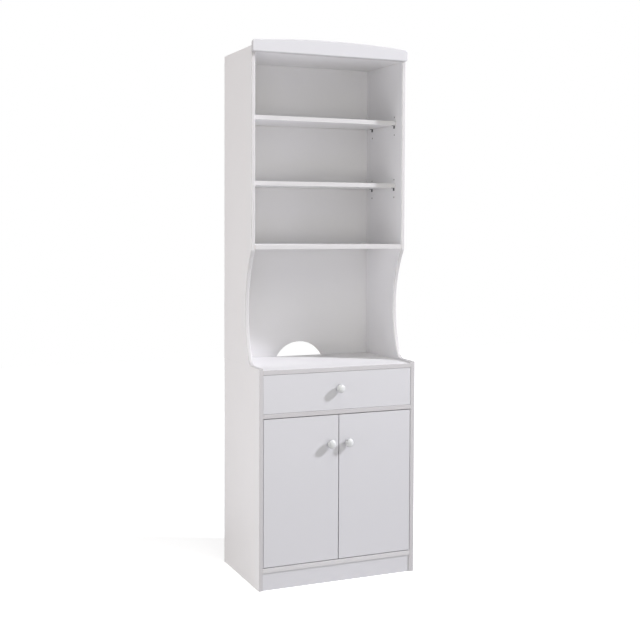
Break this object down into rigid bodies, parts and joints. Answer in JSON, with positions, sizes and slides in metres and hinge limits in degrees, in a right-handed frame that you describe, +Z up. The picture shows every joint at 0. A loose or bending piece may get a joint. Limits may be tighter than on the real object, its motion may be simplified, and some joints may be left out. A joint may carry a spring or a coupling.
{
  "type": "microwave cabinet",
  "caption": "Tall white cabinet with a microwave bay under open shelves and an arched crown, over a drawer and a two-door cupboard.",
  "frame": {"origin": "on the floor, under the middle of the whole outline, which runs from the knobs to the back panels", "axes": "+X to the viewer's right, +Y towards the back, +Z up; the doors and drawer face -Y"},
  "size_m": [0.59, 0.396, 1.8785],
  "materials": {
    "white_board": "satin white melamine on chipboard",
    "white_front": "smooth satin white",
    "white_hardboard": "white-faced hardboard",
    "white_knob": "glossy white",
    "white_steel": "white epoxy coating",
    "nylon": "natural nylon",
    "zinc_steel": "zinc plated",
    "nickel_steel": "nickel plated",
    "catch_plastic": "moulded plastic"
  },
  "bodies": {
    "cabinet": {"base_side_left": "white_board", "base_side_right": "white_board", "counter": "white_board", "drawer_rail": "white_board", "base_panel": "white_board", "plinth": "white_board", "base_back": "white_hardboard", "cupboard_shelf": "white_board", "hutch_side_left": "white_board", "hutch_side_right": "white_board", "top_panel": "white_board", "fixed_shelf": "white_board", "shelf_lower": "white_board", "shelf_upper": "white_board", "hutch_back": "white_hardboard", "crown_board": "white_front", "cupboard_pin_left_front": "zinc_steel", "cupboard_pin_left_rear": "zinc_steel", "cupboard_pin_right_front": "zinc_steel", "cupboard_pin_right_rear": "zinc_steel", "lower_pin_left_front": "zinc_steel", "lower_pin_left_rear": "zinc_steel", "lower_pin_right_front": "zinc_steel", "lower_pin_right_rear": "zinc_steel", "upper_pin_left_front": "zinc_steel", "upper_pin_left_rear": "zinc_steel", "upper_pin_right_front": "zinc_steel", "upper_pin_right_rear": "zinc_steel", "runner_rail_left": "white_steel", "runner_rail_right": "white_steel", "hinge_arm_left_lower": "nickel_steel", "hinge_arm_left_upper": "nickel_steel", "hinge_arm_right_lower": "nickel_steel", "hinge_arm_right_upper": "nickel_steel", "door_catch": "catch_plastic"},
    "drawer": {"drawer_front": "white_front", "drawer_side_left": "white_board", "drawer_side_right": "white_board", "drawer_back": "white_board", "drawer_floor": "white_hardboard", "drawer_knob": "white_knob", "drawer_knob_screw": "zinc_steel", "drawer_rail_left": "white_steel", "drawer_rail_right": "white_steel"},
    "left_door": {"door_left": "white_front", "door_left_knob": "white_knob", "door_left_knob_screw": "zinc_steel", "strike_left": "zinc_steel", "hinge_cup_left_lower": "nickel_steel", "hinge_cup_left_upper": "nickel_steel"},
    "right_door": {"door_right": "white_front", "door_right_knob": "white_knob", "door_right_knob_screw": "zinc_steel", "strike_right": "zinc_steel", "hinge_cup_right_lower": "nickel_steel", "hinge_cup_right_upper": "nickel_steel"},
    "wheel_left_front": {"runner_wheel_left_front": "nylon"},
    "wheel_right_front": {"runner_wheel_right_front": "nylon"},
    "wheel_left_rear": {"runner_wheel_left_rear": "nylon"},
    "wheel_right_rear": {"runner_wheel_right_rear": "nylon"}
  },
  "joints": [
    {"name": "drawer_slide", "type": "slide", "parent": "cabinet", "child": "drawer", "axis": [0, -1, 0], "range_m": [0, 0.225]},
    {"name": "left_door_hinge", "type": "hinge", "parent": "cabinet", "child": "left_door", "pos_m": [-0.2555, -0.1625, 0.3318], "axis": [0, 0, -1], "range_deg": [0, 95]},
    {"name": "right_door_hinge", "type": "hinge", "parent": "cabinet", "child": "right_door", "pos_m": [0.2555, -0.1625, 0.3318], "axis": [0, 0, 1], "range_deg": [0, 95]},
    {"name": "wheel_left_front_spin", "type": "hinge", "parent": "cabinet", "child": "wheel_left_front", "pos_m": [-0.2743, -0.142, 0.6195], "axis": [1, 0, 0], "continuous": true},
    {"name": "wheel_right_front_spin", "type": "hinge", "parent": "cabinet", "child": "wheel_right_front", "pos_m": [0.2743, -0.142, 0.6195], "axis": [1, 0, 0], "continuous": true},
    {"name": "wheel_left_rear_spin", "type": "hinge", "parent": "drawer", "child": "wheel_left_rear", "pos_m": [-0.2743, 0.132, 0.6195], "axis": [1, 0, 0], "continuous": true},
    {"name": "wheel_right_rear_spin", "type": "hinge", "parent": "drawer", "child": "wheel_right_rear", "pos_m": [0.2743, 0.132, 0.6195], "axis": [1, 0, 0], "continuous": true}
  ],
  "couplings": [
    {"joint": "wheel_left_front_spin", "follows": "drawer_slide", "rad_per_m": 125},
    {"joint": "wheel_right_front_spin", "follows": "drawer_slide", "rad_per_m": 125},
    {"joint": "wheel_left_rear_spin", "follows": "drawer_slide", "rad_per_m": 125},
    {"joint": "wheel_right_rear_spin", "follows": "drawer_slide", "rad_per_m": 125}
  ]
}
